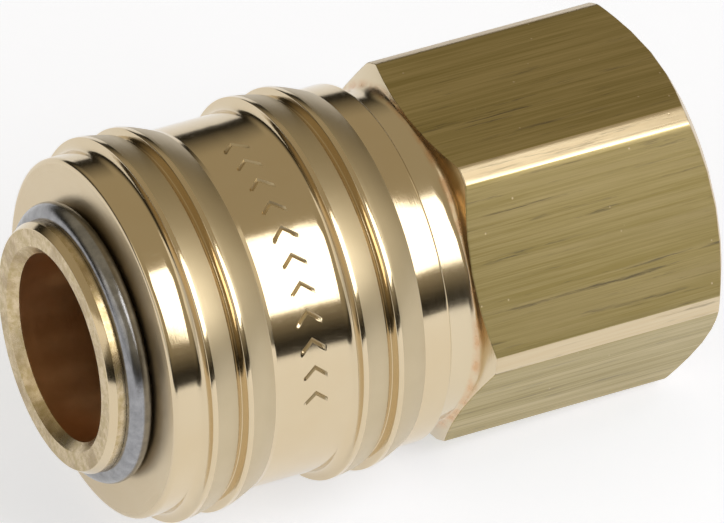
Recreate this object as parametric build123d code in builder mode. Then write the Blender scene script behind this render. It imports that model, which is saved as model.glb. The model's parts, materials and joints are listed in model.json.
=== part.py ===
from build123d import *
from math import acos, cos, degrees, pi, radians, sin, sqrt, tan
import os

os.makedirs("parts", exist_ok=True)

# A one-hand quick-release coupler for compressed air. It lies along X: the nozzle that takes
# the plug is at -X, the spanner hexagon with the inlet thread is at +X, and one flat of the
# hexagon faces up. The origin is on the axis, half way along. Sizes are millimetres, and
# every station is a distance from the nozzle's front face.

# Fits
RUNNING = 0.05  # radial play of a sliding fit
SEATED = 0.02  # gap between two pieces that bear on each other across a joint
THREAD_PLAY = 0.02  # radial play of the plain cylinders that stand for the body's screw thread

# Plug socket and nozzle tube
plug_bore_radius = 5.05
mouth_step = 0.2
mouth_margin = 0.05
tube_wall = 1.95
mouth_chamfer = 0.5
collar_length = 0.88
collar_chamfer_height = 0.25
collar_chamfer_length = 0.4

# Retaining ring, an open ring of round wire
ring_wire = 1.4
ring_sink = 0.57
ring_gap_angle = 9.0
ring_gap_centre = 140.0  # degrees from straight up, turning towards +Y

# Locking balls
ball_count = 6
ball_radius = 1.5
ball_hole_play = 0.05
ball_hole_overcut = 0.5

# Locking sleeve
sleeve_stroke = 1.6
front_guide_length = 0.75
land_length = 1.3
rear_guide_length = 2.4
sleeve_wall = 0.75
rib_height = 0.68
rib_pitch = 2.13
crest_width = 0.29
flank_length = 0.14
front_band_length = 1.78
front_edge_radius = 0.3
rib_slope_drop = 0.27
valley_length = 0.36
long_slope_length = 1.62
slope_bulge = 0.05
slope_step_length = 0.24
slope_step_height = 0.06
rear_band_length = 1.61
rear_band_rise = 0.05
edge_chamfer = 0.15
mouth_break = 0.2

# Sleeve spring
sleeve_spring_wire = 0.9
sleeve_spring_side_gap = 0.7
sleeve_spring_length = 8.5
sleeve_spring_turns = 4.5

# Plug seal
seal_gap = 0.9
seal_groove_width = 2.0
seal_groove_depth = 1.1
seal_side_play = 0.05
seal_lip = 0.35
seal_waist = 0.2

# Valve seat in the nozzle tube
web_gap = 1.0
web_length = 1.4
seat_shelf = 0.6
seat_depth = 1.0
chamber_wall = 1.4

# Valve
valve_seal_wire = 1.2
poppet_nose_wall = 0.9
poppet_nose_gap = 0.45
poppet_nose_length = 3.53
poppet_nose_pocket = 2.5
poppet_slot_width = 1.6
poppet_flange_length = 1.57
poppet_flange_play = 0.1
poppet_flow_depth = 0.55
poppet_pilot_length = 1.8
poppet_pilot_play = 0.3
poppet_pilot_wall = 1.1
poppet_pocket_depth = 2.4
valve_spring_wire = 0.7
valve_spring_gap = 0.3
valve_spring_turns = 4.5

# Body
stop_gap = 0.2
neck_fillet = 0.3
body_thread_length = 6.5
gasket_thickness = 0.5
gasket_hole_play = 0.05
spring_shelf_inset = 0.3  # how far the shoulder reaches in past the valve spring
shoulder_wall = 0.65
drill_point_angle = 59.0
hex_across_flats = 19.0
hex_length = 15.3
hex_corner_cut = 0.31
hex_front_angle = 25.4
hex_rear_angle = 30.0
end_face_margin = 0.5
thread_minor_radius = 5.72
thread_chamfer = 1.0

# Radii that follow from the sizes above
mouth_radius = plug_bore_radius + mouth_step
tube_radius = plug_bore_radius + tube_wall
guide_radius = tube_radius + RUNNING
spring_mean_radius = tube_radius + sleeve_spring_side_gap + sleeve_spring_wire / 2
cavity_radius = spring_mean_radius + sleeve_spring_wire / 2 + sleeve_spring_side_gap
neck_radius = cavity_radius - RUNNING
band_radius = cavity_radius + sleeve_wall
rib_radius = band_radius + rib_height
ring_mean_radius = tube_radius - ring_sink + ring_wire / 2
ball_locked_radius = guide_radius - SEATED - ball_radius
ball_open_radius = plug_bore_radius + ball_radius
ball_travel = ball_open_radius - ball_locked_radius
recess_radius = ball_open_radius + ball_radius + RUNNING
chamber_radius = tube_radius - chamber_wall
seat_hole_radius = chamber_radius - seat_shelf - seat_depth
valve_spring_radius = chamber_radius - valve_spring_gap - valve_spring_wire / 2
poppet_pilot_radius = valve_spring_radius - valve_spring_wire / 2 - poppet_pilot_play
poppet_pocket_radius = poppet_pilot_radius - poppet_pilot_wall
gasket_inner_radius = chamber_radius + gasket_hole_play
passage_radius = valve_spring_radius - valve_spring_wire / 2 - spring_shelf_inset
seal_groove_radius = plug_bore_radius + seal_groove_depth
hex_apothem = hex_across_flats / 2
hex_corner_apothem = hex_apothem / cos(pi / 6) - hex_corner_cut
end_face_radius = hex_apothem - end_face_margin

# Stations that follow
ring_station = collar_length + ring_wire / 2
sleeve_front = ring_station + ring_wire / 2 + SEATED
recess_front = sleeve_front + front_guide_length
ball_station = recess_front + ball_radius + RUNNING + sleeve_stroke

mouth_end = ball_station - ball_radius - ball_hole_play - mouth_margin

# The ramp is the edge that a ball clears while it rises evenly with the sleeve's stroke.
ramp_rise = ball_travel / sleeve_stroke
ramp_offset = (ball_radius + RUNNING) * sqrt(1 + ramp_rise**2)
ramp_foot = ball_station + (ball_locked_radius + ramp_offset - guide_radius) / ramp_rise
ramp_top = ramp_foot - (recess_radius - guide_radius) / ramp_rise

land_end = ramp_foot + land_length
body_front = land_end + sleeve_spring_length
sleeve_end = body_front + rear_guide_length
hex_front = sleeve_end + sleeve_stroke + stop_gap
overall_length = hex_front + hex_length
tube_end = body_front + body_thread_length
shoulder = tube_end + gasket_thickness
seal_groove_front = ball_station + ball_radius + seal_gap
seal_groove_end = seal_groove_front + seal_groove_width
web_front = seal_groove_end + web_gap
web_end = web_front + web_length
seat_end = web_end + seat_depth

# Every turned piece is drawn as half a section, station across and radius up, and spun on X.
section = Plane(origin=(-overall_length / 2, 0, 0), x_dir=(1, 0, 0), z_dir=(0, -1, 0))


def across(station):
    """The plane square to the axis at a station: its X is +Y and its Y is up."""
    origin = (station - overall_length / 2, 0, 0)
    return Plane(origin=origin, x_dir=(0, 1, 0), z_dir=(1, 0, 0))


def radial(station, angle):
    """The plane whose normal points out from the axis, angle degrees from straight up."""
    origin = (station - overall_length / 2, 0, 0)
    turn = radians(angle)
    return Plane(origin=origin, x_dir=(1, 0, 0), z_dir=(0, sin(turn), cos(turn)))


def save(part, node):
    part.label = node
    export_step(part, f"parts/{node}.step")


def wire_spring(start, end, mean_radius, wire, turns):
    """A helical spring between two stations, with its ends ground flat to them."""
    length = end - start
    coil = Helix(pitch=length / turns, height=length, radius=mean_radius)
    with BuildPart() as spring:
        with BuildLine() as path:
            add(coil)
        with BuildSketch(Plane(origin=path.line @ 0, z_dir=path.line % 0)):
            Circle(wire / 2)
        sweep(is_frenet=True)
        split(bisect_by=Plane.XY, keep=Keep.TOP)
        split(bisect_by=Plane.XY.offset(length), keep=Keep.BOTTOM)
    return across(start).location * spring.part


# Nozzle tube: the socket for the plug, the ball cage, the seal groove and the valve seat, and
# at the back the screwed end that goes into the body.
ball_angles = [i * 360 / ball_count for i in range(ball_count)]
with BuildPart() as nozzle_tube:
    with BuildSketch(section):
        with BuildLine():
            Polyline(
                (mouth_end, plug_bore_radius),
                (mouth_end, mouth_radius),
                (mouth_chamfer, mouth_radius),
                (0, mouth_radius + mouth_chamfer),
                (0, tube_radius - collar_chamfer_height),
                (collar_chamfer_length, tube_radius),
                (body_front, tube_radius),
                (body_front, tube_radius - THREAD_PLAY),
                (tube_end, tube_radius - THREAD_PLAY),
                (tube_end, chamber_radius),
                (seat_end, chamber_radius),
                (seat_end, seat_hole_radius + seat_depth),
                (web_end, seat_hole_radius),
                (web_front, seat_hole_radius),
                (web_front, plug_bore_radius),
                (seal_groove_end, plug_bore_radius),
                (seal_groove_end, seal_groove_radius),
                (seal_groove_front, seal_groove_radius),
                (seal_groove_front, plug_bore_radius),
                close=True,
            )
        make_face()
        with Locations((ring_station, ring_mean_radius)):
            Circle(ring_wire / 2 + SEATED / 2, mode=Mode.SUBTRACT)
    revolve(axis=Axis.X)
    # Each hole is straight outside the locked ball's middle. Inside it closes to a cone that
    # the ball rests on, so that no ball can drop into the bore.
    hole_radius = ball_radius + ball_hole_play
    lip_depth = ball_locked_radius - plug_bore_radius + ball_hole_overcut
    lip_taper = degrees(acos((ball_radius + SEATED) / hole_radius))
    for angle in ball_angles:
        with BuildSketch(radial(ball_station, angle).offset(ball_locked_radius)):
            Circle(hole_radius)
        extrude(amount=tube_wall, mode=Mode.SUBTRACT)
        with BuildSketch(radial(ball_station, angle).offset(ball_locked_radius)):
            Circle(hole_radius)
        extrude(amount=-lip_depth, taper=lip_taper, mode=Mode.SUBTRACT)

# Retaining ring: it stops the sleeve at the front. Its gap lets it be sprung into the groove.
with BuildPart() as retaining_ring:
    with BuildSketch(section):
        with Locations((ring_station, ring_mean_radius)):
            Circle(ring_wire / 2)
    revolve(axis=Axis.X, revolution_arc=360 - ring_gap_angle)
ring = retaining_ring.part.rotate(Axis.X, ring_gap_angle / 2 - ring_gap_centre)

# Locking balls
lock_balls = []
for angle in ball_angles:
    with BuildPart(radial(ball_station, angle).offset(ball_locked_radius)) as lock_ball:
        Sphere(ball_radius)
    lock_balls.append(lock_ball.part)

# Locking sleeve. Outside it has two pairs of ribs, each rib steep in front and sloped behind.
# Inside it has a guide, the recess that lets the balls out, the land that locks them, and
# one long bore for the spring and the body's neck.
front_rib = sleeve_front + front_band_length
rear_band_front = sleeve_end - rear_band_length
rear_rib = rear_band_front - long_slope_length - crest_width - flank_length - rib_pitch
rear_band_radius = band_radius + rear_band_rise


def rib_pair(start, end_radius):
    """Outline of two ribs from the foot of the first flank to the end of the second slope."""
    first = start + flank_length
    valley = start + rib_pitch - valley_length
    second = start + rib_pitch + flank_length
    slope_foot = (valley, rib_radius - rib_slope_drop)
    Line((start, band_radius), (first, rib_radius))
    Line((first, rib_radius), (first + crest_width, rib_radius))
    SagittaArc((first + crest_width, rib_radius), slope_foot, slope_bulge)
    valley_floor = (start + rib_pitch, rib_radius - 2 * rib_slope_drop)
    SagittaArc(slope_foot, valley_floor, -slope_bulge)
    Line(valley_floor, (second, rib_radius))
    Line((second, rib_radius), (second + crest_width, rib_radius))
    slope_end = (second + crest_width + long_slope_length, end_radius)
    SagittaArc((second + crest_width, rib_radius), slope_end, 2 * slope_bulge)
    return slope_end


with BuildPart() as locking_sleeve:
    with BuildSketch(section):
        with BuildLine():
            Line((sleeve_front, guide_radius + mouth_break), (sleeve_front, band_radius - front_edge_radius))
            edge_centre = (sleeve_front + front_edge_radius, band_radius - front_edge_radius)
            CenterArc(edge_centre, front_edge_radius, 180, -90)
            Line((edge_centre[0], band_radius), (front_rib, band_radius))
            slope_end = rib_pair(front_rib, band_radius + slope_step_height)
            step_end = (slope_end[0] + slope_step_length, band_radius)
            Line(slope_end, step_end)
            Line(step_end, (rear_rib, band_radius))
            slope_end = rib_pair(rear_rib, rear_band_radius)
            Polyline(
                slope_end,
                (sleeve_end - edge_chamfer, rear_band_radius),
                (sleeve_end, rear_band_radius - edge_chamfer),
                (sleeve_end, cavity_radius + mouth_break),
                (sleeve_end - mouth_break, cavity_radius),
                (land_end, cavity_radius),
                (land_end, guide_radius),
                (ramp_foot, guide_radius),
                (ramp_top, recess_radius),
                (recess_front, recess_radius),
                (recess_front, guide_radius),
                (sleeve_front + mouth_break, guide_radius),
                (sleeve_front, guide_radius + mouth_break),
            )
        make_face()
    revolve(axis=Axis.X)

# Body: the neck that guides the sleeve, the spanner hexagon and the inlet thread.
inlet_cone_length = (thread_minor_radius - passage_radius) / tan(radians(drill_point_angle))
inlet_bottom = shoulder + shoulder_wall + inlet_cone_length
front_slope = tan(radians(hex_front_angle))
rear_slope = tan(radians(hex_rear_angle))
corner_reach = hex_apothem / cos(pi / 6)
with BuildPart() as hex_body:
    with BuildSketch(across(hex_front - neck_fillet)):
        RegularPolygon(hex_apothem, 6, major_radius=False)
        RegularPolygon(hex_corner_apothem, 6, major_radius=False, rotation=30, mode=Mode.INTERSECT)
    extrude(amount=hex_length + neck_fillet)
    with BuildSketch(section):
        with BuildLine():
            Polyline(
                (hex_front - neck_fillet, 0),
                (hex_front - neck_fillet, neck_radius),
                (hex_front, neck_radius),
                (hex_front + (corner_reach - neck_radius) * front_slope, corner_reach),
                (overall_length - (corner_reach - end_face_radius) * rear_slope, corner_reach),
                (overall_length, end_face_radius),
                (overall_length, 0),
                close=True,
            )
        make_face()
    revolve(axis=Axis.X, mode=Mode.INTERSECT)
    with BuildSketch(across(body_front)):
        Circle(neck_radius)
    extrude(amount=hex_front - body_front)
    neck_corner = hex_body.edges().filter_by(GeomType.CIRCLE).sort_by(
        lambda edge: abs(edge.center().X + overall_length / 2 - hex_front)
        + abs(edge.radius - neck_radius)
    )[0]
    fillet(neck_corner, neck_fillet)
    neck_rim = hex_body.faces().sort_by(Axis.X)[0].outer_wire().edges()
    chamfer(neck_rim, edge_chamfer)
    with BuildSketch(section):
        with BuildLine():
            Polyline(
                (body_front, 0),
                (body_front, tube_radius),
                (shoulder, tube_radius),
                (shoulder, passage_radius),
                (inlet_bottom - inlet_cone_length, passage_radius),
                (inlet_bottom, thread_minor_radius),
                (overall_length - thread_chamfer, thread_minor_radius),
                (overall_length, thread_minor_radius + thread_chamfer),
                (overall_length, 0),
                close=True,
            )
        make_face()
    revolve(axis=Axis.X, mode=Mode.SUBTRACT)

# Body gasket, clamped between the nozzle tube's end and the body's shoulder
with BuildPart() as body_gasket:
    with BuildSketch(across(tube_end)):
        Circle(tube_radius - THREAD_PLAY)
        Circle(gasket_inner_radius, mode=Mode.SUBTRACT)
    extrude(amount=gasket_thickness)

# Plug seal, with a rounded lip that stands into the bore
with BuildPart() as plug_seal:
    seal_front = seal_groove_front + seal_side_play
    seal_end = seal_groove_end - seal_side_play
    seal_outer = seal_groove_radius - SEATED
    with BuildSketch(section):
        with BuildLine():
            Polyline(
                (seal_end, plug_bore_radius + seal_waist),
                (seal_end, seal_outer),
                (seal_front, seal_outer),
                (seal_front, plug_bore_radius + seal_waist),
            )
            ThreePointArc(
                (seal_front, plug_bore_radius + seal_waist),
                ((seal_front + seal_end) / 2, plug_bore_radius - seal_lip),
                (seal_end, plug_bore_radius + seal_waist),
            )
        make_face()
    revolve(axis=Axis.X)

# Valve: a poppet with a slotted nose that the plug's tip pushes, and a seal ring that closes
# on the cone of the seat. The seal's centre keeps its own radius off the cone.
valve_seal_radius = seat_hole_radius - poppet_nose_gap + valve_seal_wire / 2
valve_seal_stand = (valve_seal_wire / 2 + SEATED) * sqrt(2)
valve_seal_station = web_end + valve_seal_radius - seat_hole_radius + valve_seal_stand
flange_front = valve_seal_station + valve_seal_wire / 2
flange_end = flange_front + poppet_flange_length
pilot_end = flange_end + poppet_pilot_length
nose_radius = seat_hole_radius - poppet_nose_gap
nose_front = web_end - poppet_nose_length + poppet_nose_gap
flange_radius = chamber_radius - poppet_flange_play
with BuildPart() as valve_poppet:
    with BuildSketch(section):
        with BuildLine():
            Polyline(
                (nose_front + poppet_nose_pocket, 0),
                (nose_front + poppet_nose_pocket, nose_radius - poppet_nose_wall),
                (nose_front, nose_radius - poppet_nose_wall),
                (nose_front, nose_radius - edge_chamfer),
                (nose_front + edge_chamfer, nose_radius),
                (flange_front, nose_radius),
                (flange_front, flange_radius),
                (flange_end, flange_radius),
                (flange_end, poppet_pilot_radius),
                (pilot_end, poppet_pilot_radius),
                (pilot_end, poppet_pocket_radius),
                (pilot_end - poppet_pocket_depth, poppet_pocket_radius),
                (pilot_end - poppet_pocket_depth, 0),
                close=True,
            )
        make_face()
    revolve(axis=Axis.X)
    with BuildSketch(across(flange_front)):
        Circle(flange_radius + RUNNING)
        RegularPolygon(
            flange_radius - poppet_flow_depth, 6, major_radius=False, mode=Mode.SUBTRACT
        )
    extrude(amount=poppet_flange_length, mode=Mode.SUBTRACT)
    with BuildSketch(across(nose_front)):
        Rectangle(2 * chamber_radius, poppet_slot_width)
        Rectangle(poppet_slot_width, 2 * chamber_radius)
    extrude(amount=poppet_nose_pocket, mode=Mode.SUBTRACT)

with BuildPart() as valve_seal:
    with BuildSketch(section):
        with Locations((valve_seal_station, valve_seal_radius)):
            Circle(valve_seal_wire / 2)
    revolve(axis=Axis.X)

# Springs
sleeve_spring = wire_spring(
    land_end, body_front, spring_mean_radius, sleeve_spring_wire, sleeve_spring_turns
)
valve_spring = wire_spring(
    flange_end, shoulder, valve_spring_radius, valve_spring_wire, valve_spring_turns
)

save(hex_body.part, "hex_body")
save(nozzle_tube.part, "nozzle_tube")
save(locking_sleeve.part, "locking_sleeve")
save(ring, "retaining_ring")
save(sleeve_spring, "sleeve_spring")
for number, ball in enumerate(lock_balls, start=1):
    save(ball, f"lock_ball_{number}")
save(plug_seal.part, "plug_seal")
save(body_gasket.part, "body_gasket")
save(valve_poppet.part, "valve_poppet")
save(valve_seal.part, "valve_seal")
save(valve_spring, "valve_spring")
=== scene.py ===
"""A brass one-hand quick disconnect coupler for compressed air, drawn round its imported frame.

Lengths are millimetres, and every station is a distance along the axis from the nozzle's
front face. Angles round the axis are degrees from straight up, turning towards +Y.
"""
import json
from math import atan2, cos, degrees, hypot, pi, radians, sin, tan

import bmesh
import bpy
from mathutils import Matrix, Vector


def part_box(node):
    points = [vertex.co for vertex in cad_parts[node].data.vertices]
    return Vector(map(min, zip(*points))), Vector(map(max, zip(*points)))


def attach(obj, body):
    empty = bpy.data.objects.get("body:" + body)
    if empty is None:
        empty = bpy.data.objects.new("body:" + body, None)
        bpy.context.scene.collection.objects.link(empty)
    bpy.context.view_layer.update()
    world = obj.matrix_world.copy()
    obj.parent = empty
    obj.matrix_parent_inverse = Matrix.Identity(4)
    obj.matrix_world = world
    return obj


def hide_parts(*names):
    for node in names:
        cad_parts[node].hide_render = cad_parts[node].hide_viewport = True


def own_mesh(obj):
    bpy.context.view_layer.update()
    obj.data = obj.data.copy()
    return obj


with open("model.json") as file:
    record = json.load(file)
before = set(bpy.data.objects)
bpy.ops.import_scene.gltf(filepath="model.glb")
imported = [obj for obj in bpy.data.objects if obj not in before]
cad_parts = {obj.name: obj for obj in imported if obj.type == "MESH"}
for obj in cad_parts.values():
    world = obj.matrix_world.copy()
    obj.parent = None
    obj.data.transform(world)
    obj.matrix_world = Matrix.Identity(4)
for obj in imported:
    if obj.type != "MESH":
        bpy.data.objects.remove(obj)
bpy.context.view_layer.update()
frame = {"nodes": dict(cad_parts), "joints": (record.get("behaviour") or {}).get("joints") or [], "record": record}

MM = 0.001
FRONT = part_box("nozzle_tube")[0][0]


# ---------------------------------------------------------------- sizes from the frame

def stations(node):
    """The first and last station of a node."""
    low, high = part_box(node)
    return (low[0] - FRONT) / MM, (high[0] - FRONT) / MM


def reach(node):
    """How far a node reaches from the axis, straight up."""
    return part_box(node)[1][2] / MM


def travel(joint):
    """How far a sliding joint moves."""
    return next(j["range_m"][1] for j in frame["joints"] if j["name"] == joint) / MM


TUBE_END = stations("nozzle_tube")[1]
TUBE_RADIUS = reach("nozzle_tube")
RING_START, RING_END = stations("retaining_ring")
RING_WIRE = RING_END - RING_START
RING_OUTER = -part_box("retaining_ring")[0][1] / MM
SLEEVE_FRONT, SLEEVE_END = stations("locking_sleeve")
RIB_RADIUS = reach("locking_sleeve")
BODY_FRONT, BODY_END = stations("hex_body")
HALF_FLATS = reach("hex_body")
BALL_FRONT, BALL_END = stations("lock_ball_1")
BALL_RADIUS = (BALL_END - BALL_FRONT) / 2
BALL_STATION = BALL_FRONT + BALL_RADIUS
BALL_LOCKED = reach("lock_ball_1") - BALL_RADIUS
SPRING_START, SPRING_END = stations("sleeve_spring")
SEAL_FRONT, SEAL_END = stations("plug_seal")
SEAL_RADIUS = reach("plug_seal")
VALVE_SEAL_FRONT, VALVE_SEAL_END = stations("valve_seal")
VALVE_SEAL_OUTER = reach("valve_seal")
VALVE_SPRING_START, VALVE_SPRING_END = stations("valve_spring")
GASKET_END = stations("body_gasket")[1]

BALL_COUNT = 6
BALL_RISE = frame["record"]["behaviour"]["couplings"][0]["ratio"]
SLEEVE_STROKE = travel("sleeve_slide")
VALVE_STROKE = travel("valve_slide")

PLAY = 0.05
SCREW_PLAY = 0.02
TUBE_WALL = 1.95
MOUTH_STEP = 0.2
RIB_HEIGHT = 0.68
SLEEVE_WALL = 0.75
STOP_GAP = 0.2

PLUG_BORE = TUBE_RADIUS - TUBE_WALL
MOUTH = PLUG_BORE + MOUTH_STEP
BAND_RADIUS = RIB_RADIUS - RIB_HEIGHT
CAVITY_RADIUS = BAND_RADIUS - SLEEVE_WALL
NECK_RADIUS = CAVITY_RADIUS - PLAY
HEX_FRONT = SLEEVE_END + SLEEVE_STROKE + STOP_GAP


# ---------------------------------------------------------------- meshes

def place(station, radius, angle):
    """The point at a station and a radius, an angle round the axis, in metres."""
    turn = radians(angle)
    return Vector((FRONT + station * MM, radius * MM * sin(turn), radius * MM * cos(turn)))


def rounded(outline, steps=5):
    """Turns (station, radius, rounding, finish) corners into points (station, radius, finish).

    A corner's rounding is the radius of the arc that replaces it, and its finish names the
    surface that follows it.
    """
    points = []
    count = len(outline)
    for i, (station, radius, rounding, finish) in enumerate(outline):
        before = outline[i - 1]
        after = outline[(i + 1) % count]
        back = Vector((before[0] - station, before[1] - radius))
        ahead = Vector((after[0] - station, after[1] - radius))
        if rounding == 0 or back.length < 1e-6 or ahead.length < 1e-6:
            points.append((station, radius, finish))
            continue
        opening = back.angle(ahead)
        cut = min(rounding / tan(opening / 2), 0.49 * back.length, 0.49 * ahead.length)
        corner = Vector((station, radius))
        start = corner + back.normalized() * cut
        end = corner + ahead.normalized() * cut
        for k in range(steps + 1):
            t = k / steps
            point = start.lerp(corner, t).lerp(corner.lerp(end, t), t)
            points.append((point.x, point.y, finish))
    return points


def bulge(start, end, rise, finish, steps=8):
    """Corners along a shallow arc from start, up to but not including end."""
    (x0, r0), (x1, r1) = start, end
    length = hypot(x1 - x0, r1 - r0)
    out = ((r0 - r1) / length, (x1 - x0) / length)
    corners = []
    for k in range(steps):
        t = k / steps
        lift = 4 * rise * t * (1 - t)
        station = x0 + (x1 - x0) * t + out[0] * lift
        radius = r0 + (r1 - r0) * t + out[1] * lift
        corners.append((station, radius, 0, finish))
    return corners


def hollow(start, corner, end, finish, steps=8):
    """Corners along a curve that leaves start towards corner and comes to, but not into, end."""
    start, corner, end = Vector(start), Vector(corner), Vector(end)
    corners = []
    for k in range(steps):
        t = k / steps
        point = start.lerp(corner, t).lerp(corner.lerp(end, t), t)
        corners.append((point.x, point.y, 0, finish))
    return corners


def finish_mesh(name, bm, sharp=32):
    """Makes an object of a bmesh, with smooth faces and edges sharp past an angle."""
    bmesh.ops.remove_doubles(bm, verts=bm.verts, dist=1e-8)
    bmesh.ops.recalc_face_normals(bm, faces=bm.faces)
    mesh = bpy.data.meshes.new(name)
    bm.to_mesh(mesh)
    bm.free()
    mesh.shade_smooth()
    mesh.set_sharp_from_angle(angle=radians(sharp))
    piece = bpy.data.objects.new(name, mesh)
    bpy.context.scene.collection.objects.link(piece)
    return piece


def skin(name, columns, finishes, sharp=32):
    """A closed skin through columns of (angle, [(station, radius, finish, twist), ...]).

    Each column is a closed loop, and the last column joins the first. Finishes are the
    materials, by name.
    """
    bm = bmesh.new()
    order = list(finishes)
    grid = []
    for angle, column in columns:
        grid.append([bm.verts.new(place(s, r, angle + twist)) for s, r, _, twist in column])
    rows = len(grid[0])
    for i, column in enumerate(columns):
        here, there = grid[i], grid[(i + 1) % len(grid)]
        for k in range(rows):
            after = (k + 1) % rows
            face = bm.faces.new((here[k], here[after], there[after], there[k]))
            face.material_index = order.index(column[1][k][2])
    piece = finish_mesh(name, bm, sharp)
    for finish in order:
        piece.data.materials.append(finishes[finish])
    return piece


def turned(name, outline, finishes, segments=256, sharp=32):
    """A ring turned from a closed outline of corners."""
    column = [(s, r, finish, 0) for s, r, finish in rounded(outline)]
    columns = [(360 * i / segments, column) for i in range(segments)]
    return skin(name, columns, finishes, sharp)


def cut_away(piece, cutters):
    """Takes the cutters' shapes out of a piece, and removes the cutters."""
    for cutter in cutters:
        cut = piece.modifiers.new("cut", "BOOLEAN")
        cut.operation = "DIFFERENCE"
        cut.solver = "EXACT"
        cut.object = cutter
    settle(piece)
    for cutter in cutters:
        bpy.data.objects.remove(cutter)


def settle(piece, sharp=32):
    """Turns a piece's modifiers into plain mesh."""
    shown = piece.evaluated_get(bpy.context.evaluated_depsgraph_get())
    mesh = bpy.data.meshes.new_from_object(shown)
    piece.modifiers.clear()
    piece.data = mesh
    mesh.shade_smooth()
    mesh.set_sharp_from_angle(angle=radians(sharp))


# ---------------------------------------------------------------- nodes

def set_stops(ramp, stops):
    """Gives a colour ramp its stops of (position, grey)."""
    while len(ramp.elements) < len(stops):
        ramp.elements.new(1.0)
    for element, (position, grey) in zip(ramp.elements, stops):
        element.position = position
        element.color = (grey, grey, grey, 1)


def add_node(tree, kind, settings=None, **values):
    """Adds a node with its settings, and then gives its sockets their values or links.

    A value's key is its socket's name with _ for a space, or i and the socket's number.
    """
    node = tree.nodes.new(kind)
    for key, value in (settings or {}).items():
        if key == "stops":
            set_stops(node.color_ramp, value)
        else:
            setattr(node, key, value)
    for key, value in values.items():
        numbered = key[0] == "i" and key[1:].isdigit()
        socket = node.inputs[int(key[1:]) if numbered else key.replace("_", " ")]
        if isinstance(value, bpy.types.NodeSocket):
            tree.links.new(value, socket)
        else:
            socket.default_value = value
    return node


# ---------------------------------------------------------------- geometry nodes

class Tree:
    """A geometry node tree with named inputs."""

    def __init__(self, name, inputs):
        self.tree = bpy.data.node_groups.new(name, "GeometryNodeTree")
        self.sockets = {}
        for label, kind in inputs:
            item = self.tree.interface.new_socket(label, in_out="INPUT", socket_type=kind)
            self.sockets[label] = item.identifier
        self.tree.interface.new_socket("Geometry", in_out="OUTPUT", socket_type="NodeSocketGeometry")
        self.inputs = self.tree.nodes.new("NodeGroupInput").outputs
        self.output = self.tree.nodes.new("NodeGroupOutput").inputs[0]

    def node(self, kind, settings=None, **values):
        """Adds a node and returns its first output."""
        return add_node(self.tree, kind, settings, **values).outputs[0]

    def math(self, operation, a, b=0.0):
        return self.node("ShaderNodeMath", {"operation": operation}, i0=a, i1=b)

    def make(self, name, values):
        """Runs the tree on an empty mesh and returns the plain mesh piece."""
        piece = bpy.data.objects.new(name, bpy.data.meshes.new(name))
        bpy.context.scene.collection.objects.link(piece)
        modifier = piece.modifiers.new("nodes", "NODES")
        modifier.node_group = self.tree
        for label, value in values.items():
            modifier[self.sockets[label]] = value
        settle(piece)
        return piece


def coil_tree():
    """Round wire wound into a coil along the axis, between two seats, with closed end turns."""
    tree = Tree("wound wire", [
        ("Coil Radius", "NodeSocketFloat"), ("Wire", "NodeSocketFloat"), ("Turns", "NodeSocketFloat"),
        ("End Turns", "NodeSocketFloat"), ("Length", "NodeSocketFloat"), ("Start", "NodeSocketFloat"),
        ("Material", "NodeSocketMaterial"),
    ])
    given = tree.inputs
    wire, turns, ends = given["Wire"], given["Turns"], given["End Turns"]
    spiral = tree.node(
        "GeometryNodeCurveSpiral", None, Resolution=96, Rotations=turns,
        Start_Radius=given["Coil Radius"], End_Radius=given["Coil Radius"], Height=0.0, Reverse=True,
    )
    turn = tree.math("MULTIPLY", tree.node("GeometryNodeSplineParameter"), turns)
    free_turns = tree.math("SUBTRACT", turns, tree.math("MULTIPLY", ends, 2.0))
    closed = tree.math("MULTIPLY", wire, tree.math("ADD", tree.math("MULTIPLY", ends, 2.0), 1.0))
    pitch = tree.math("DIVIDE", tree.math("SUBTRACT", given["Length"], closed), free_turns)
    first = tree.math("MINIMUM", turn, ends)
    free = tree.math("MINIMUM", tree.math("MAXIMUM", tree.math("SUBTRACT", turn, ends), 0.0), free_turns)
    last = tree.math("MAXIMUM", tree.math("SUBTRACT", turn, tree.math("SUBTRACT", turns, ends)), 0.0)
    wound = tree.math("MULTIPLY", wire, tree.math("ADD", tree.math("ADD", first, last), 0.5))
    rise = tree.math("ADD", wound, tree.math("MULTIPLY", pitch, free))
    along = tree.node("ShaderNodeCombineXYZ", None, Z=tree.math("ADD", rise, given["Start"]))
    path = tree.node("GeometryNodeSetPosition", None, Geometry=spiral, Offset=along)
    section = tree.node("GeometryNodeCurvePrimitiveCircle", None, Resolution=32,
                        Radius=tree.math("MULTIPLY", wire, 0.5))
    tube = tree.node("GeometryNodeCurveToMesh", None, Curve=path, Profile_Curve=section, Fill_Caps=True)
    lying = tree.node("GeometryNodeTransform", None, Geometry=tube, Rotation=(0, pi / 2, 0))
    real = tree.node("GeometryNodeRealizeInstances", None, Geometry=lying)
    surfaced = tree.node("GeometryNodeSetMaterial", None, Geometry=real, Material=given["Material"])
    tree.tree.links.new(surfaced, tree.output)
    return tree


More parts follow.
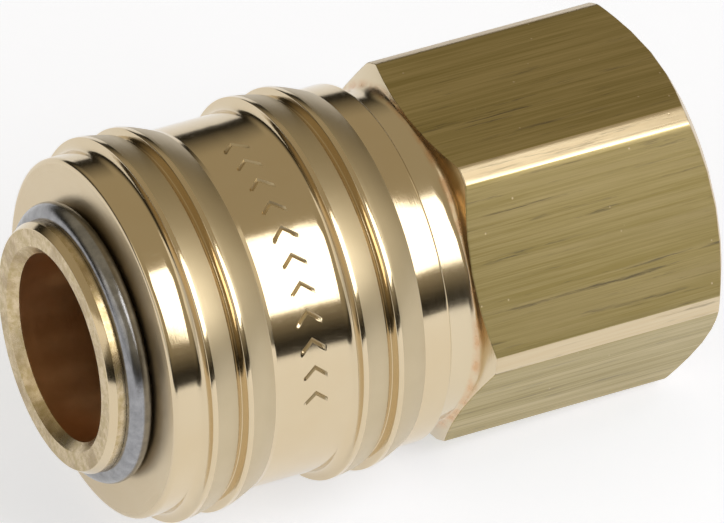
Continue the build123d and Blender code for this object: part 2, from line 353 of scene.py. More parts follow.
def thread_tree():
    """A screw thread's ridge along the axis: a trapezoid swept round a spiral, fading at both ends.

    The trapezoid's outer half is buried in the wall, and its narrow side is the crest.
    """
    buried_share = 1.86
    crest_share = 0.18
    tree = Tree("inlet thread", [
        ("Root Radius", "NodeSocketFloat"), ("Height", "NodeSocketFloat"), ("Pitch", "NodeSocketFloat"),
        ("Turns", "NodeSocketFloat"), ("Start", "NodeSocketFloat"), ("Fade", "NodeSocketFloat"),
        ("Material", "NodeSocketMaterial"),
    ])
    given = tree.inputs
    turns = given["Turns"]
    spiral = tree.node(
        "GeometryNodeCurveSpiral", None, Resolution=128, Rotations=turns,
        Start_Radius=given["Root Radius"], End_Radius=given["Root Radius"],
        Height=tree.math("MULTIPLY", turns, given["Pitch"]), Reverse=True,
    )
    turn = tree.math("MULTIPLY", tree.node("GeometryNodeSplineParameter"), turns)
    to_end = tree.math("MINIMUM", turn, tree.math("SUBTRACT", turns, turn))
    fade = tree.math("MINIMUM", tree.math("MAXIMUM", tree.math("DIVIDE", to_end, given["Fade"]), 0.02), 1.0)
    upright = tree.node("GeometryNodeSetCurveNormal", {"mode": "Z_UP"}, Curve=spiral)
    faded = tree.node("GeometryNodeSetCurveRadius", None, Curve=upright, Radius=fade)
    height = given["Height"]
    ridge = tree.node(
        "GeometryNodeCurvePrimitiveQuadrilateral", {"mode": "TRAPEZOID"},
        Height=tree.math("MULTIPLY", height, 2.0),
        Bottom_Width=tree.math("MULTIPLY", given["Pitch"], buried_share),
        Top_Width=tree.math("MULTIPLY", given["Pitch"], crest_share),
        Offset=0.0,
    )
    inward = tree.node("GeometryNodeTransform", None, Geometry=ridge, Rotation=(0, 0, pi / 2))
    tube = tree.node("GeometryNodeCurveToMesh", None, Curve=faded, Profile_Curve=inward,
                     Scale=fade, Fill_Caps=True)
    shifted = tree.node("ShaderNodeCombineXYZ", None, Z=given["Start"])
    moved = tree.node("GeometryNodeTransform", None, Geometry=tube, Translation=shifted)
    lying = tree.node("GeometryNodeTransform", None, Geometry=moved, Rotation=(0, pi / 2, 0))
    real = tree.node("GeometryNodeRealizeInstances", None, Geometry=lying)
    surfaced = tree.node("GeometryNodeSetMaterial", None, Geometry=real, Material=given["Material"])
    tree.tree.links.new(surfaced, tree.output)
    return tree


# ---------------------------------------------------------------- shader maths

class Value:
    """A shader socket that can be used in sums."""

    def __init__(self, shader, socket):
        self.shader = shader
        self.socket = socket

    def sum(self, operation, a, b):
        return self.shader.node("ShaderNodeMath", {"operation": operation}, i0=a, i1=b)

    def __add__(self, other):
        return self.sum("ADD", self, other)

    def __radd__(self, other):
        return self.sum("ADD", other, self)

    def __sub__(self, other):
        return self.sum("SUBTRACT", self, other)

    def __rsub__(self, other):
        return self.sum("SUBTRACT", other, self)

    def __mul__(self, other):
        return self.sum("MULTIPLY", self, other)

    def __rmul__(self, other):
        return self.sum("MULTIPLY", other, self)

    def __pow__(self, other):
        return self.sum("POWER", self, other)

    def __rpow__(self, other):
        return self.sum("POWER", other, self)


class Shader:
    """One material with a Principled surface."""

    def __init__(self, name, **constants):
        self.material = bpy.data.materials.new(name)
        self.material.use_nodes = True
        self.tree = self.material.node_tree
        self.surface = self.tree.nodes["Principled BSDF"]
        for key, value in constants.items():
            self.surface.inputs[key.replace("_", " ")].default_value = value
        point = self.node("ShaderNodeTexCoord", output="Object")
        self.point = self.node("ShaderNodeVectorMath", {"operation": "SCALE"}, i0=point, Scale=1 / MM)
        split = add_node(self.tree, "ShaderNodeSeparateXYZ", i0=self.point.socket)
        self.x, self.y, self.z = [Value(self, socket) for socket in split.outputs]
        self.station = self.x - FRONT / MM
        self.radius = (self.y * self.y + self.z * self.z) ** 0.5

    def node(self, kind, settings=None, output=0, **values):
        """Adds a node and returns one of its outputs."""
        plain = {key: value.socket if isinstance(value, Value) else value for key, value in values.items()}
        return Value(self, add_node(self.tree, kind, settings, **plain).outputs[output])

    def vector(self, x, y, z):
        return self.node("ShaderNodeCombineXYZ", X=x, Y=y, Z=z)

    def noise(self, where, scale, detail=3.0, roughness=0.55):
        return self.node("ShaderNodeTexNoise", Vector=where, Scale=scale,
                         Detail=detail, Roughness=roughness)

    def ramp(self, value, *stops):
        return self.node("ShaderNodeValToRGB", {"stops": stops}, Fac=value)

    def between(self, value, low, high):
        """0 at low and 1 at high, and level past both."""
        return self.node("ShaderNodeMapRange", Value=value, From_Min=low, From_Max=high)

    def mix(self, factor, a, b):
        """A colour between two, by a factor."""
        return self.node("ShaderNodeMix", {"data_type": "RGBA"}, output=2, i0=factor, i6=a, i7=b)

    def turned_lines(self, pitch, run=0.02):
        """Fine lines that a cutting tool leaves round the axis, about so far apart."""
        where = self.vector(self.x + self.y * run, self.radius + self.z * run, 0.0)
        return self.noise(where, 1 / pitch, 2.0, 0.7)

    def feed(self, **links):
        for key, value in links.items():
            self.tree.links.new(value.socket, self.surface.inputs[key.replace("_", " ")])
        return self.material

    def bump(self, height, depth, strength=1.0):
        """A normal from a height of 0 to 1 that stands for a depth in millimetres."""
        return self.node("ShaderNodeBump", Height=height, Distance=depth * MM, Strength=strength)


# ---------------------------------------------------------------- materials

BRASS = (0.69, 0.58, 0.40, 1)
BRASS_WARM = (0.66, 0.53, 0.34, 1)
BRASS_DRAWN = (0.50, 0.405, 0.20, 1)
BRASS_DULL = (0.35, 0.28, 0.11, 1)
BRASS_TURNED = (0.61, 0.51, 0.345, 1)
BRASS_TURNED_DARK = (0.55, 0.455, 0.295, 1)
BRASS_BROWNED = (0.50, 0.39, 0.20, 1)
BRASS_STAINED = (0.36, 0.26, 0.14, 1)
BRASS_OILED = (0.80, 0.52, 0.28, 1)
BRASS_OILED_DARK = (0.58, 0.36, 0.18, 1)
COPPER = (0.66, 0.40, 0.21, 1)
DIRT = (0.13, 0.11, 0.08, 1)


def polished_brass():
    """The sleeve's bands: bright, with faint turning lines and a few hairline scratches."""
    s = Shader("polished brass", Metallic=1.0)
    lines = s.turned_lines(0.05)
    cloud = s.noise(s.point, 0.35, 2.0)
    colour = s.mix(cloud, BRASS, BRASS_WARM)
    hair = s.noise(s.vector(s.x * 0.4, s.y * 3.0, s.z * 3.0), 4.0, 4.0, 0.7)
    scratches = s.ramp(hair, (0.0, 0.0), (0.62, 0.0), (0.66, 1.0))
    rough = 0.09 + lines * 0.07 + scratches * 0.08
    height = lines * 0.6 + s.noise(s.point, 0.8, 1.0) * 0.4
    return s.feed(Base_Color=colour, Roughness=rough, Normal=s.bump(height, 0.002))


def satin_brass():
    """End faces, the ring's groove and the valve's seat, as the tool left them."""
    s = Shader("satin brass", Metallic=1.0)
    lines = s.turned_lines(0.07)
    coarse = s.turned_lines(0.3)
    cloud = s.noise(s.point, 0.5, 2.0)
    colour = s.mix(cloud, BRASS, BRASS_WARM)
    rough = 0.2 + lines * 0.14 + coarse * 0.08
    return s.feed(Base_Color=colour, Roughness=rough, Normal=s.bump(lines * 0.5 + coarse * 0.5, 0.004))


def matte_brass():
    """The slopes behind the ribs and the chevrons' walls: fine turned and not polished."""
    s = Shader("matte brass", Metallic=1.0)
    lines = s.turned_lines(0.05)
    cloud = s.noise(s.point, 0.5, 2.0)
    colour = s.mix(cloud, BRASS_TURNED, BRASS_TURNED_DARK)
    rough = 0.32 + lines * 0.12
    return s.feed(Base_Color=colour, Roughness=rough, Normal=s.bump(lines, 0.005))


def worn_brass():
    """The nozzle's front, which every plug rubs: fine turned, mottled and a little browned."""
    s = Shader("worn brass", Metallic=1.0)
    lines = s.turned_lines(0.06)
    mottle = s.noise(s.point, 2.2, 4.0, 0.65)
    tint = s.noise(s.point, 0.7, 3.0)
    colour = s.mix(s.ramp(mottle, (0.4, 0.0), (0.62, 1.0)), BRASS_WARM, BRASS_BROWNED)
    colour = s.mix(s.ramp(tint, (0.5, 0.0), (0.66, 0.6)), colour, BRASS_STAINED)
    rough = 0.16 + lines * 0.1 + mottle * 0.14
    return s.feed(Base_Color=colour, Roughness=rough, Normal=s.bump(lines * 0.5 + mottle * 0.5, 0.005))


def bore_brass():
    """The insides of the nozzle, sleeve and body: oiled, browned brass."""
    s = Shader("bore brass", Metallic=1.0)
    lines = s.turned_lines(0.12)
    patches = s.noise(s.point, 0.9, 4.0)
    colour = s.mix(patches, BRASS_OILED, BRASS_OILED_DARK)
    rough = 0.24 + lines * 0.2
    return s.feed(Base_Color=colour, Roughness=rough, Normal=s.bump(lines, 0.006))


def neck_brass():
    """The body's neck: turned and bright, with a blotchy copper tint painted into the fillet where it meets the
    hexagon, as painted reflection in that corner.
    """
    s = Shader("neck brass", Metallic=1.0)
    lines = s.turned_lines(0.06)
    # Painted reflection: a copper tint, broken up by noise, in the fillet where the neck meets the hexagon; it
    # also roughens the surface there.
    corner = s.between(s.station, HEX_FRONT - 0.2, HEX_FRONT)
    past = s.between(s.station, HEX_FRONT + 0.3, HEX_FRONT + 0.1)
    tint = corner * past * s.ramp(s.noise(s.point, 1.2, 3.0), (0.35, 0.1), (0.65, 0.8))
    colour = s.mix(tint, BRASS, COPPER)
    return s.feed(Base_Color=colour, Roughness=0.1 + lines * 0.1 + tint * 0.2,
                  Normal=s.bump(lines, 0.0015))


def drawn_brass(name, bright, dark, rough):
    """The hexagon as its bar was drawn: streaks and dirt along the bar, and small nicks."""
    s = Shader(name, Metallic=1.0)
    fine = s.noise(s.vector(s.x * 0.014, s.y, s.z), 7.0, 3.0, 0.75)
    broad = s.noise(s.vector(s.x * 0.03, s.y, s.z), 1.1, 3.0)
    patches = s.noise(s.vector(s.x * 0.2, s.y, s.z), 0.6, 4.0, 0.6)
    pits = s.node("ShaderNodeTexVoronoi", {"feature": "F1"}, Vector=s.point, Scale=0.8)
    nick = s.ramp(pits, (0.0, 1.0), (0.035, 1.0), (0.06, 0.0))
    dull = s.ramp(fine * 0.6 + broad * 0.4, (0.40, 0.0), (0.60, 1.0))
    colour = s.mix(dull, bright, dark)
    lines = s.noise(s.vector(s.x * 0.05, s.y, s.z), 3.2, 5.0, 0.7)
    dirt = s.ramp(lines, (0.57, 0.0), (0.66, 0.8)) * s.ramp(patches, (0.4, 0.0), (0.6, 1.0))
    colour = s.mix(dirt, colour, DIRT)
    colour = s.mix(nick * 0.8, colour, BRASS)
    gloss = rough + dull * 0.1 + patches * 0.08
    height = fine * 0.6 + broad * 0.2 - nick * 0.9
    return s.feed(Base_Color=colour, Roughness=gloss, Normal=s.bump(height, 0.008))


def wire_steel(name, colour, rough):
    """Round steel wire: dull grey, drawn, with speckles."""
    s = Shader(name, Metallic=1.0)
    grain = s.noise(s.point, 14.0, 4.0, 0.7)
    patches = s.noise(s.point, 1.6, 3.0)
    dark = tuple(part * 0.55 for part in colour[:3]) + (1,)
    shade = s.mix(s.ramp(patches * 0.6 + grain * 0.4, (0.35, 0.0), (0.7, 1.0)), colour, dark)
    return s.feed(Base_Color=shade, Roughness=rough + grain * 0.18, Normal=s.bump(grain, 0.004))


def ball_steel():
    s = Shader("ball steel", Metallic=1.0)
    haze = s.noise(s.point, 6.0, 3.0)
    colour = s.mix(haze, (0.76, 0.76, 0.77, 1), (0.66, 0.65, 0.64, 1))
    return s.feed(Base_Color=colour, Roughness=0.05 + haze * 0.08)


def seal_rubber():
    s = Shader("seal rubber", Specular_IOR_Level=0.4)
    grain = s.noise(s.point, 9.0, 4.0)
    colour = s.mix(grain, (0.012, 0.012, 0.013, 1), (0.035, 0.034, 0.033, 1))
    return s.feed(Base_Color=colour, Roughness=0.45 + grain * 0.25, Normal=s.bump(grain, 0.01))


def gasket_plastic():
    s = Shader("gasket plastic")
    cloud = s.noise(s.point, 1.5, 3.0)
    colour = s.mix(cloud, (0.80, 0.79, 0.75, 1), (0.70, 0.69, 0.64, 1))
    return s.feed(Base_Color=colour, Roughness=0.4 + cloud * 0.2)


FINISHES = {
    "polished": polished_brass(),
    "satin": satin_brass(),
    "matte": matte_brass(),
    "worn": worn_brass(),
    "bore": bore_brass(),
    "neck": neck_brass(),
    "drawn": drawn_brass("drawn brass", BRASS_DRAWN, BRASS_DULL, 0.34),
    "edge": drawn_brass("drawn brass edge", BRASS, BRASS_WARM, 0.24),
    "ring": wire_steel("ring steel", (0.38, 0.38, 0.39, 1), 0.13),
    "spring": wire_steel("spring steel", (0.55, 0.55, 0.54, 1), 0.22),
    "ball": ball_steel(),
    "rubber": seal_rubber(),
    "gasket": gasket_plastic(),
}


def only(*names):
    """The named finishes, for a piece that has no others."""
    return {name: FINISHES[name] for name in names}


# ---------------------------------------------------------------- locking sleeve

FRONT_BAND = 1.78
REAR_BAND = 1.61
RIB_PITCH = 2.13
RIB_FLANK = 0.14
RIB_CREST = 0.29
RIB_SLOPE = 1.62
RIB_DROP = 0.27
RIB_VALLEY = 0.36
RIB_PAIR = RIB_PITCH + RIB_FLANK + RIB_CREST + RIB_SLOPE
FRONT_GUIDE = 0.75
LOCKING_LAND = 1.3
GUIDE_CHAMFER = 0.2
SLEEVE_SIDES = 240
MARK_COUNT = 11
MARK_SPACING = 9.0
MARK_FIRST = -87.0
MARK_MIDDLE = SLEEVE_FRONT + 8.4
MARK_REACH = 0.72
MARK_DEPTH = 0.12
MARK_HALF_WIDTH = 0.15
MARK_POINT = 0.62


def rib_pair(start, end_radius):
    """Corners of two ribs, from the foot of the first flank to the end of the second slope."""
    first = start + RIB_FLANK
    second = start + RIB_PITCH + RIB_FLANK
    foot = (start + RIB_PITCH - RIB_VALLEY, RIB_RADIUS - RIB_DROP)
    floor = (start + RIB_PITCH, RIB_RADIUS - 2 * RIB_DROP)
    shoulder = (first - 0.02, RIB_RADIUS - 0.14)
    last_crest = (second + RIB_CREST, RIB_RADIUS)
    slope_end = (second + RIB_CREST + RIB_SLOPE, end_radius)
    corners = hollow((start - 0.4, BAND_RADIUS), (start + 0.05, BAND_RADIUS), shoulder, "polished")
    corners += [(*shoulder, 0, "polished"), (first, RIB_RADIUS, 0.1, "polished")]
    corners += bulge((first + RIB_CREST, RIB_RADIUS), foot, 0.02, "matte")
    corners += bulge(foot, floor, -0.05, "polished", 4)
    corners += [(*floor, 0.14, "polished"), (second, RIB_RADIUS, 0.1, "polished")]
    corners += bulge(last_crest, slope_end, 0.04, "matte")
    return corners


def sleeve_outline():
    """The sleeve's section: bands and ribs outside; guides, ball recess, ramp and cavity inside."""
    front_rib = SLEEVE_FRONT + FRONT_BAND
    slope_end = front_rib + RIB_PAIR
    slope_radius = BAND_RADIUS + 0.06
    rear_band = SLEEVE_END - REAR_BAND
    rear_radius = BAND_RADIUS + 0.05
    guide = TUBE_RADIUS + PLAY
    recess = PLUG_BORE + 2 * BALL_RADIUS + PLAY
    recess_front = SLEEVE_FRONT + FRONT_GUIDE
    ramp_foot = SPRING_START - LOCKING_LAND
    ramp_top = ramp_foot - (recess - guide) / BALL_RISE
    outline = [
        (SLEEVE_FRONT, guide + GUIDE_CHAMFER, 0.03, "satin"),
        (SLEEVE_FRONT, BAND_RADIUS, 0.3, "polished"),
    ]
    outline += rib_pair(front_rib, slope_radius)
    outline += [
        (slope_end, slope_radius, 0.02, "polished"),
        (slope_end + 0.24, BAND_RADIUS, 0.04, "polished"),
    ]
    outline += [(station, BAND_RADIUS, 0, "polished") for station in mark_rows()]
    outline += rib_pair(rear_band - RIB_PAIR, rear_radius)
    outline += [
        (rear_band, rear_radius, 0.02, "polished"),
        (SLEEVE_END, rear_radius, 0.16, "polished"),
        (SLEEVE_END, CAVITY_RADIUS + GUIDE_CHAMFER, 0.02, "satin"),
        (SLEEVE_END - GUIDE_CHAMFER, CAVITY_RADIUS, 0.02, "bore"),
        (SPRING_START, CAVITY_RADIUS, 0.1, "bore"),
        (SPRING_START, guide, 0.05, "bore"),
        (ramp_foot, guide, 0.05, "bore"),
        (ramp_top, recess, 0.1, "bore"),
        (recess_front, recess, 0.1, "bore"),
        (recess_front, guide, 0.05, "bore"),
        (SLEEVE_FRONT + GUIDE_CHAMFER, guide, 0.02, "satin"),
    ]
    return outline


def mark_rows():
    """Stations of the rows that the engraved chevrons need, with rows just outside them."""
    steps = (-1.12, -1.0, -0.8, -0.4, 0.0, 0.4, 0.8, 1.0, 1.12)
    return [MARK_MIDDLE + MARK_REACH * step for step in steps]


def locking_sleeve():
    """The sleeve, with a row of plain engraved chevrons round its middle band."""
    column = rounded(sleeve_outline())
    half = degrees(MARK_HALF_WIDTH / BAND_RADIUS)
    point = degrees(MARK_POINT / BAND_RADIUS)
    centres = [MARK_FIRST + MARK_SPACING * i for i in range(MARK_COUNT)]
    sides = [centre + side * half for centre in centres for side in (-1.6, -1, 0, 1, 1.6)]
    plain = [-180 + 360 * i / SLEEVE_SIDES for i in range(SLEEVE_SIDES)]
    clear = [angle for angle in plain if min(abs(angle - centre) for centre in centres) > 2 * half]
    columns = []
    for angle in sorted(clear + sides):
        cut = any(abs(angle - centre) < half / 2 for centre in centres)
        walled = any(-1.2 * half < angle - centre < half / 2 for centre in centres)
        rows = []
        for station, radius, finish in column:
            off = abs(station - MARK_MIDDLE) / MARK_REACH
            on_band = abs(radius - BAND_RADIUS) < 1e-4 and off < 1.05
            twist = point * (1 - min(off, 1)) if on_band else 0
            depth = MARK_DEPTH if cut and on_band and off < 0.9 else 0
            finish = "matte" if walled and on_band and off < 0.95 else finish
            rows.append((station, radius - depth, finish, twist))
        columns.append((angle, rows))
    piece = skin("locking_sleeve_turned", columns, only("polished", "satin", "matte", "bore"))
    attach(piece, "sleeve")
    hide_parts("locking_sleeve")


# ---------------------------------------------------------------- nozzle tube

MOUTH_CHAMFER = 0.5
CHAMBER_WALL = 1.4
VALVE_WEB = 1.4
SEAL_WALL = 1.0
SEAT_DEPTH = 1.0
SEAT_RADIUS = 5.0
VALVE_HOLE = 4.0
SEAL_PLAY = 0.02


def ball_hole(angle, sides=64):
    """A cutter for a ball's hole, straight outside and closing to the ball's seat inside."""
    wide = BALL_RADIUS + PLAY
    seat_depth = 1.0
    seat_lean = radians(11.29)
    profile = (
        (BALL_LOCKED - seat_depth, wide - seat_depth * tan(seat_lean)),
        (BALL_LOCKED, wide),
        (TUBE_RADIUS + 0.5, wide),
    )
    out = place(BALL_STATION, 1, angle) - place(BALL_STATION, 0, angle)
    facing = out.to_track_quat("Z", "Y").to_matrix().to_4x4()
    facing.translation = place(BALL_STATION, 0, angle)
    bm = bmesh.new()
    rings = []
    for height, radius in profile:
        turns = [2 * pi * k / sides for k in range(sides)]
        points = [Vector((radius * cos(turn), radius * sin(turn), height)) * MM for turn in turns]
        rings.append([bm.verts.new(facing @ point) for point in points])
    for low, high in zip(rings, rings[1:]):
        for k in range(sides):
            after = (k + 1) % sides
            bm.faces.new((low[k], low[after], high[after], high[k]))
    bm.faces.new(rings[0])
    bm.faces.new(rings[-1])
    return finish_mesh("ball_hole", bm)


def nozzle_tube():
    """The nozzle tube, with the ring's groove, the ball holes, the seal groove and the seat."""
    groove = []
    groove_steps = 12
    wire = RING_WIRE / 2 + 0.01
    middle = (RING_START + RING_END) / 2
    ring_centre = RING_OUTER - RING_WIRE / 2
    edge = (wire ** 2 - (ring_centre - TUBE_RADIUS) ** 2) ** 0.5
    lean = degrees(atan2(TUBE_RADIUS - ring_centre, edge))
    for k in range(groove_steps + 1):
        turn = radians(180 - lean + (180 + 2 * lean) * k / groove_steps)
        groove.append((middle + wire * cos(turn), ring_centre + wire * sin(turn), 0, "satin"))
    chamber = TUBE_RADIUS - CHAMBER_WALL
    screw = TUBE_RADIUS - SCREW_PLAY
    seal_floor = SEAL_RADIUS + SEAL_PLAY
    web_front = SEAL_END + PLAY + SEAL_WALL
    web_end = web_front + VALVE_WEB
    seat_end = web_end + SEAT_DEPTH
    mouth_end = BALL_FRONT - 0.1
    outline = [
        (mouth_end, PLUG_BORE, 0, "bore"),
        (mouth_end, MOUTH, 0, "bore"),
        (MOUTH_CHAMFER, MOUTH, 0.04, "worn"),
        (0, MOUTH + MOUTH_CHAMFER, 0.04, "worn"),
        (0, TUBE_RADIUS - 0.25, 0.06, "polished"),
        (0.4, TUBE_RADIUS, 0.06, "worn"),
        *groove,
        (BODY_FRONT, TUBE_RADIUS, 0, "bore"),
        (BODY_FRONT, screw, 0, "bore"),
        (TUBE_END, screw, 0.05, "bore"),
        (TUBE_END, chamber, 0.05, "bore"),
        (seat_end, chamber, 0.05, "bore"),
        (seat_end, SEAT_RADIUS, 0.05, "satin"),
        (web_end, VALVE_HOLE, 0.05, "bore"),
        (web_front, VALVE_HOLE, 0.1, "bore"),
        (web_front, PLUG_BORE, 0.1, "bore"),
        (SEAL_END + PLAY, PLUG_BORE, 0.05, "bore"),
        (SEAL_END + PLAY, seal_floor, 0.05, "bore"),
        (SEAL_FRONT - PLAY, seal_floor, 0.05, "bore"),
        (SEAL_FRONT - PLAY, PLUG_BORE, 0.05, "bore"),
    ]
    piece = turned("nozzle_tube_turned", outline, only("polished", "satin", "worn", "bore"), 192)
    cut_away(piece, [ball_hole(60 * i) for i in range(BALL_COUNT)])
    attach(piece, "coupler_body")
    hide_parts("nozzle_tube")


# ---------------------------------------------------------------- hexagon body

CORNER_CUT = 0.31
FRONT_SLOPE = 25.4
REAR_SLOPE = 30
NECK_EDGE = 0.15
REAR_FACE_INSET = 0.5
INLET_FLOOR = 0.65
INLET_CONE = 0.853
PASSAGE_RADIUS = 4.3
THREAD_MINOR = 5.72
THREAD_MAJOR = 6.58
THREAD_PITCH = 1.337


def hex_radius(angle):
    """The hexagon bar's radius at an angle, its corners cut flat and its edges eased."""
    across = (angle + 30) % 60 - 30
    at_corner = angle % 60 - 30
    flat = HALF_FLATS / cos(radians(across))
    corner = (HALF_FLATS / cos(pi / 6) - CORNER_CUT) / cos(radians(at_corner))
    ease = 0.1
    overlap = max(ease - abs(flat - corner), 0) / ease
    return min(flat, corner) - overlap ** 2 * ease / 4


def hex_body():
    """The body: its neck, the cones that end the hexagon, the flats and the inlet."""
    front_slope = tan(radians(FRONT_SLOPE))
    rear_slope = tan(radians(REAR_SLOPE))
    face = HALF_FLATS - REAR_FACE_INSET
    passage_end = GASKET_END + INLET_FLOOR
    inlet_bottom = passage_end + INLET_CONE
    near_edge = (0, 12, 20, 24, 25.6, 26.4, 26.8, 27.0, 27.2, 27.4, 27.6, 28.0, 28.6, 29.2, 30)
    angles = []
    for flat in range(6):
        for step in near_edge:
            angles.append(60 * flat + step)
            angles.append(60 * flat - step)
    columns = []
    for angle in sorted({round(angle % 360, 4) for angle in angles}):
        out = hex_radius(angle)
        side = "edge" if 27 <= angle % 60 < 33 else "drawn"
        outline = [
            (BODY_FRONT, TUBE_RADIUS, 0.02, "bore"),
            (BODY_FRONT, NECK_RADIUS - NECK_EDGE, 0.02, "neck"),
            (BODY_FRONT + NECK_EDGE, NECK_RADIUS, 0.02, "neck"),
            (HEX_FRONT, NECK_RADIUS, 0.9, "neck"),
            (HEX_FRONT + (out - NECK_RADIUS) * front_slope, out, 0.07, side),
            (BODY_END - (out - face) * rear_slope, out, 0.07, "satin"),
            (BODY_END, face, 0.05, "satin"),
            (BODY_END, THREAD_MINOR + 1.0, 0.03, "satin"),
            (BODY_END - 0.14, THREAD_MAJOR, 0.02, "bore"),
            (inlet_bottom - 0.5, THREAD_MAJOR, 0.02, "bore"),
            (inlet_bottom, THREAD_MINOR, 0.05, "bore"),
            (passage_end, PASSAGE_RADIUS, 0.05, "bore"),
            (GASKET_END, PASSAGE_RADIUS, 0.05, "bore"),
            (GASKET_END, TUBE_RADIUS, 0, "bore"),
        ]
        columns.append((angle, [(s, r, finish, 0) for s, r, finish in rounded(outline)]))
    piece = skin("hex_body_bar", columns, only("neck", "drawn", "edge", "satin", "bore"), 40)
    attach(piece, "coupler_body")
    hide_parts("hex_body")


def inlet_thread():
    """The inlet's internal thread, a ridge that stands in from the bore's wall."""
    length = 9.0
    rear_margin = 0.75
    start = BODY_END - rear_margin - length
    piece = thread_tree().make("inlet_thread_ridge", {
        "Root Radius": (THREAD_MAJOR + 0.02) * MM,
        "Height": (THREAD_MAJOR - THREAD_MINOR) * MM,
        "Pitch": THREAD_PITCH * MM,
        "Turns": length / THREAD_PITCH,
        "Start": FRONT + start * MM,
        "Fade": 0.5,
        "Material": FINISHES["satin"],
    })
    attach(piece, "coupler_body")


# ---------------------------------------------------------------- wire, balls and seals

SLEEVE_WIRE = 0.9
VALVE_WIRE = 0.7
VALVE_COIL_RADIUS = 4.95
COIL = coil_tree()


def wound(name, start, length, radius, wire, turns, ends, finish):
    """A coil of wire from a start station, with so many turns and closed turns at each end."""
    return COIL.make(name, {
        "Coil Radius": radius * MM,
        "Wire": wire * MM,
        "Turns": turns,
        "End Turns": ends,
        "Length": length * MM,
        "Start": FRONT + start * MM,
        "Material": FINISHES[finish],
    })


def retaining_ring():
    """An open ring of round wire; its gap is on the far side, low down."""
    gap = 9.0
    middle = 140.0
    piece = wound("retaining_ring_wire", RING_START, RING_WIRE, RING_OUTER - RING_WIRE / 2,
                  RING_WIRE, 1 - gap / 360, 0.0, "ring")
    first = piece.data.vertices[0].co
    wound_from = degrees(atan2(first.y, first.z))
    piece.data.transform(Matrix.Rotation(radians(wound_from - middle + gap / 2), 4, "X"))
    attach(piece, "coupler_body")
    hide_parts("retaining_ring")


def springs():
    """The sleeve's spring and the valve's."""
    length = SPRING_END - SPRING_START
    radius = (TUBE_RADIUS + CAVITY_RADIUS) / 2
    sleeve = wound("sleeve_spring_wire", SPRING_START, length, radius, SLEEVE_WIRE, 5.5, 1.0, "spring")
    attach(sleeve, "coupler_body")
    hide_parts("sleeve_spring")
    place(SPRING_END, 0, 0)
    (length - SLEEVE_STROKE) / length
    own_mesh(sleeve)
    length = VALVE_SPRING_END - VALVE_SPRING_START
    valve = wound("valve_spring_wire", VALVE_SPRING_START, length, VALVE_COIL_RADIUS, VALVE_WIRE,
                  4.5, 0.75, "spring")
    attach(valve, "coupler_body")
    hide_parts("valve_spring")
    place(VALVE_SPRING_END, 0, 0)
    (length - VALVE_STROKE) / length
    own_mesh(valve)


def lock_balls():
    """The balls, each on its own body and each locked in its hole at rest."""
    for i in range(BALL_COUNT):
        bm = bmesh.new()
        bmesh.ops.create_uvsphere(bm, u_segments=48, v_segments=32, radius=BALL_RADIUS * MM)
        bm.transform(Matrix.Translation(place(BALL_STATION, BALL_LOCKED, 60 * i)))
        piece = finish_mesh(f"lock_ball_round_{i + 1}", bm)
        piece.data.materials.append(FINISHES["ball"])
        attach(piece, f"ball_{i + 1}")
        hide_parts(f"lock_ball_{i + 1}")


def seals():
    """The plug seal with its rounded lip, and the valve's seal ring."""
    waist = PLUG_BORE + 0.2
    lip_height = 0.55
    lip = bulge((SEAL_FRONT, waist), (SEAL_END, waist), -lip_height, "rubber", 16)
    outline = [*lip, (SEAL_END, waist, 0, "rubber"), (SEAL_END, SEAL_RADIUS, 0.15, "rubber"),
               (SEAL_FRONT, SEAL_RADIUS, 0.15, "rubber")]
    plug = turned("plug_seal_lip", outline, only("rubber"), 128, 60)
    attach(plug, "coupler_body")
    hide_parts("plug_seal")
    sides = 32
    half = (VALVE_SEAL_END - VALVE_SEAL_FRONT) / 2
    middle = (VALVE_SEAL_FRONT + VALVE_SEAL_END) / 2
    centre = VALVE_SEAL_OUTER - half
    turns = [2 * pi * k / sides for k in range(sides)]
    ring = [(middle + half * cos(turn), centre + half * sin(turn), 0, "rubber") for turn in turns]
    valve = turned("valve_seal_ring", ring, only("rubber"), 96, 60)
    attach(valve, "valve")
    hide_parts("valve_seal")


def surface_nodes(finishes):
    """Gives the frame's own pieces their materials."""
    for node, finish in finishes.items():
        piece = frame["nodes"][node]
        piece.data.materials.clear()
        piece.data.materials.append(FINISHES[finish])


locking_sleeve()
nozzle_tube()
hex_body()
inlet_thread()
retaining_ring()
springs()
lock_balls()
seals()
surface_nodes({"valve_poppet": "satin", "body_gasket": "gasket"})


# ---------------------------------------------------------------- floor, light and camera

FLOOR_HALF = 0.6
FLOOR_GLOW = (0.92, 0.95, 1, 1)
FLOOR_PALE = (0.73, 0.76, 0.86, 1)
FLOOR_PALE_DARK = (0.72, 0.75, 0.85, 1)
ROOM_LOW = (0.022, 0.019, 0.013, 1)
ROOM_HIGH = (0.42, 0.36, 0.25, 1)


def floor():
    """A pale floor under the coupler, which lies on a rear rib and the end of the lowest flat."""
    rib_back = 3.2
    flat_back = 0.3
    low = Vector((FRONT + (SLEEVE_END - rib_back) * MM, 0, -RIB_RADIUS * MM))
    rear = Vector((FRONT + (BODY_END - flat_back) * MM, 0, -HALF_FLATS * MM))
    tilt = atan2(rear.z - low.z, rear.x - low.x)
    bm = bmesh.new()
    bmesh.ops.create_grid(bm, x_segments=1, y_segments=1, size=FLOOR_HALF)
    bm.transform(Matrix.Translation(low) @ Matrix.Rotation(-tilt, 4, "Y"))
    piece = finish_mesh("floor", bm)
    s = Shader("floor white", Roughness=0.6, Specular_IOR_Level=0.2,
               Emission_Color=FLOOR_GLOW, Emission_Strength=0.54)
    colour = s.mix(s.noise(s.point, 0.02, 2.0), FLOOR_PALE_DARK, FLOOR_PALE)
    piece.data.materials.append(s.feed(Base_Color=colour))


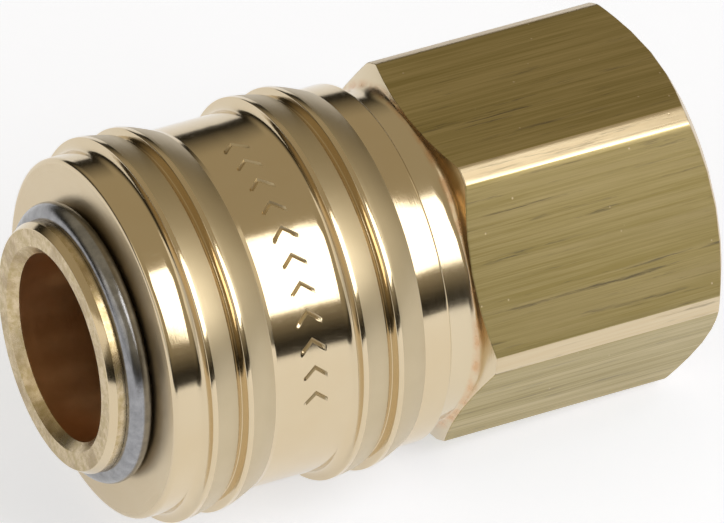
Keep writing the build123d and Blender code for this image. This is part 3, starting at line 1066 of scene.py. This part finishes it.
def panel(name, direction, distance, width, height, radiance, colour=(1, 1, 1)):
    """A soft rectangular light that looks as bright as radiance from the coupler."""
    light = bpy.data.lights.new(name, "AREA")
    light.shape = "RECTANGLE"
    light.size = width
    light.size_y = height
    light.energy = radiance * pi * width * height
    light.color = colour
    lamp = bpy.data.objects.new(name, light)
    lamp.location = Vector(direction).normalized() * distance
    lamp.rotation_euler = Vector(direction).to_track_quat("Z", "Y").to_euler()
    bpy.context.scene.collection.objects.link(lamp)


def studio():
    """A bright window up in front, two dim walls at the sides, and a dim room round them."""
    panel("window", (0.37, -0.58, 0.726), 0.5, 0.24, 0.38, 3.2)
    panel("left_wall", (-1.0, -0.25, 0.3), 0.5, 0.5, 0.45, 0.62)
    panel("right_wall", (0.86, -0.36, 0.42), 0.5, 0.36, 0.6, 0.4, (1.0, 0.97, 0.88))
    bpy.context.scene.world = dim_room()


def dim_room():
    """A room that is dark near the ground and a dim, warm brown higher up."""
    world = bpy.data.worlds.new("dim room")
    world.use_nodes = True
    tree = world.node_tree
    way = add_node(tree, "ShaderNodeTexCoord").outputs["Generated"]
    height = add_node(tree, "ShaderNodeSeparateXYZ", i0=way).outputs[2]
    rise = add_node(tree, "ShaderNodeMapRange", Value=height, From_Min=0.14, From_Max=0.5).outputs[0]
    shade = add_node(tree, "ShaderNodeMix", {"data_type": "RGBA"}, i0=rise, i6=ROOM_LOW, i7=ROOM_HIGH)
    tree.links.new(shade.outputs[2], tree.nodes["Background"].inputs[0])
    return world


def camera():
    """A long lens that looks down on the nozzle and the coupler's side, rolled a few degrees."""
    pivot = 2.42
    target = Vector((-1.62, -3.95, 3.89)) * MM
    away = Vector((-0.3689, -0.6803, 0.6333))
    upright = Vector((0.2484, 0.5844, 0.7724))
    distance = 0.6983
    eye = place(pivot, 0, 0) + away * distance
    forward = (target - eye).normalized()
    right = forward.cross(upright).normalized()
    up = right.cross(forward)
    data = bpy.data.cameras.new("camera")
    data.sensor_width = 36
    data.lens = 645
    data.clip_start = 0.05
    data.clip_end = 10
    lens = bpy.data.objects.new("camera", data)
    turn = Matrix((right, up, -forward)).transposed().to_4x4()
    lens.matrix_world = Matrix.Translation(eye) @ turn
    bpy.context.scene.collection.objects.link(lens)
    bpy.context.scene.camera = lens


floor()
studio()
camera()
bpy.context.scene.view_settings.view_transform = "Standard"
